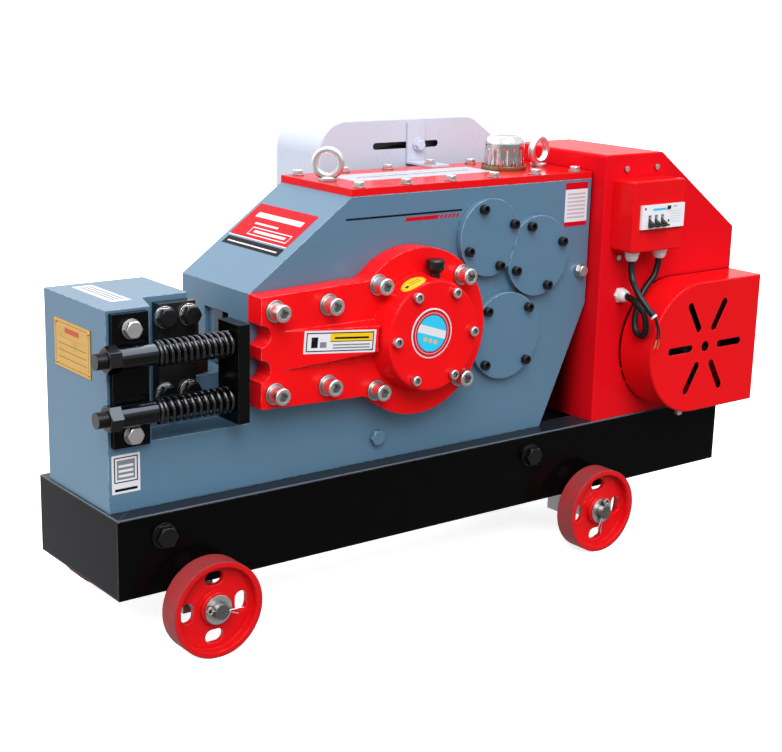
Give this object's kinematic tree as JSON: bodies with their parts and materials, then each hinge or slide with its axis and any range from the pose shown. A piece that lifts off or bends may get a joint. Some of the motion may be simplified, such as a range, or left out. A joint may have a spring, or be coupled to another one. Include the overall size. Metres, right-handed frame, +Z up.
{
  "type": "rebar cutting machine",
  "caption": "Wheeled workshop machine that shears reinforcing bars between a fixed blade and a crank-driven sliding blade, with motor, belt drive, gear housing and sprung stop plate.",
  "frame": {"origin": "on the floor under the middle of the machine's overall box", "axes": "+X along the machine from the cutting head to the motor, +Y from the bar side to the belt guard, +Z up"},
  "size_m": [1.338, 0.5026, 0.757],
  "materials": {
    "black_paint": "satin",
    "red_paint": "gloss",
    "grey_blue_paint": "satin",
    "white_paint": "satin",
    "zinc": "plated",
    "black_oxide": "black oxide",
    "tool_steel": "bare, lightly rusted",
    "machined_steel": "ground",
    "bright_chrome": "polished",
    "cast_iron": "as cast",
    "plate_brass": "brushed",
    "belt_rubber": "matt",
    "cable_rubber": "matt",
    "white_plastic": "satin",
    "black_plastic": "gloss",
    "aged_brass": "brushed",
    "fan_plastic": "matt"
  },
  "bodies": {
    "frame": {"base_frame": "black_paint", "base_bolts": "black_paint", "axles": "machined_steel", "axle_retainers": "zinc", "machine_frame": "grey_blue_paint", "drain_plug": "grey_blue_paint", "nameplate": "plate_brass", "blade_holder": "black_oxide", "holder_bolts": "black_oxide", "fixed_blade": "tool_steel", "crank_cover": "red_paint", "crank_cover_bolts": "zinc", "crank_cap": "red_paint", "crank_cap_screws": "zinc", "oil_cup": "black_oxide", "bearing_caps": "grey_blue_paint", "bearing_cap_screws": "black_oxide", "top_plate": "red_paint", "top_plate_bolts": "zinc", "eye_bolts": "zinc", "breather_base": "aged_brass", "breather_cap": "bright_chrome", "clamp_bracket": "black_paint", "front_bolts": "zinc", "spring_high": "black_paint", "spring_low": "black_paint", "drive_belts": "belt_rubber", "belt_guard": "white_paint", "guard_bracket": "white_paint", "motor_body": "cast_iron", "motor_hood": "red_paint", "motor_guard": "red_paint", "hood_screws": "zinc", "switch_box": "red_paint", "breaker_body": "white_plastic", "cable_glands": "white_plastic", "supply_cable": "cable_rubber", "motor_lead": "cable_rubber"},
    "wheel_front_left": {"wheel_front_left": "red_paint"},
    "wheel_front_right": {"wheel_front_right": "red_paint"},
    "wheel_rear_left": {"wheel_rear_left": "red_paint"},
    "wheel_rear_right": {"wheel_rear_right": "red_paint"},
    "clamp": {"stop_plate": "black_paint", "clamp_rods": "black_paint", "clamp_nuts": "black_paint"},
    "slide": {"slide_block": "grey_blue_paint", "moving_blade": "tool_steel"},
    "crank": {"crankshaft": "machined_steel", "crank_gear": "machined_steel"},
    "rod": {"connecting_rod": "cast_iron"},
    "third": {"third_shaft": "machined_steel", "third_gear": "machined_steel"},
    "second": {"second_shaft": "machined_steel", "second_gear": "machined_steel"},
    "first": {"first_shaft": "machined_steel", "flywheel": "cast_iron"},
    "motor": {"motor_shaft": "machined_steel", "motor_fan": "fan_plastic", "motor_pulley": "cast_iron"},
    "switch": {"breaker_toggle": "black_plastic"}
  },
  "joints": [
    {"name": "wheel_front_left_spin", "type": "hinge", "parent": "frame", "child": "wheel_front_left", "pos_m": [-0.508, -0.2078, 0.076], "axis": [0, 1, 0], "continuous": true},
    {"name": "wheel_front_right_spin", "type": "hinge", "parent": "frame", "child": "wheel_front_right", "pos_m": [0.295, -0.2078, 0.076], "axis": [0, 1, 0], "continuous": true},
    {"name": "wheel_rear_left_spin", "type": "hinge", "parent": "frame", "child": "wheel_rear_left", "pos_m": [-0.508, 0.1428, 0.076], "axis": [0, 1, 0], "continuous": true},
    {"name": "wheel_rear_right_spin", "type": "hinge", "parent": "frame", "child": "wheel_rear_right", "pos_m": [0.295, 0.1428, 0.076], "axis": [0, 1, 0], "continuous": true},
    {"name": "clamp_slide", "type": "slide", "parent": "frame", "child": "clamp", "axis": [1, 0, 0], "range_m": [-0.045, 0], "stiffness_N_per_m": 30000, "springref_m": 0.02, "deforming": ["spring_high", "spring_low"]},
    {"name": "blade_slide", "type": "slide", "parent": "frame", "child": "slide", "axis": [1, 0, 0], "range_m": [-0.044, 0]},
    {"name": "crank_spin", "type": "hinge", "parent": "frame", "child": "crank", "pos_m": [-0.095, -0.03, 0.4435], "axis": [0, 1, 0], "continuous": true},
    {"name": "rod_pivot", "type": "hinge", "parent": "crank", "child": "rod", "pos_m": [-0.073, -0.0362, 0.4435], "axis": [0, 1, 0], "continuous": true},
    {"name": "third_spin", "type": "hinge", "parent": "frame", "child": "third", "pos_m": [0.11772, -0.03, 0.40599], "axis": [0, 1, 0], "continuous": true},
    {"name": "second_spin", "type": "hinge", "parent": "frame", "child": "second", "pos_m": [0.18582, -0.03, 0.53964], "axis": [0, 1, 0], "continuous": true},
    {"name": "first_spin", "type": "hinge", "parent": "frame", "child": "first", "pos_m": [0.07493, 0.1535, 0.58], "axis": [0, 1, 0], "continuous": true},
    {"name": "motor_spin", "type": "hinge", "parent": "frame", "child": "motor", "pos_m": [0.523, 0.1535, 0.3565], "axis": [0, 1, 0], "continuous": true},
    {"name": "breaker_switch", "type": "hinge", "parent": "frame", "child": "switch", "pos_m": [0.3935, -0.2135, 0.595], "axis": [1, 0, 0], "range_deg": [-54, 0]}
  ],
  "couplings": [
    {"joint": "rod_pivot", "follows": "crank_spin", "ratio": -1},
    {"joint": "third_spin", "follows": "crank_spin", "ratio": -3.5},
    {"joint": "second_spin", "follows": "crank_spin", "ratio": 10.5},
    {"joint": "first_spin", "follows": "crank_spin", "ratio": -30.8},
    {"joint": "motor_spin", "follows": "crank_spin", "ratio": -88}
  ]
}
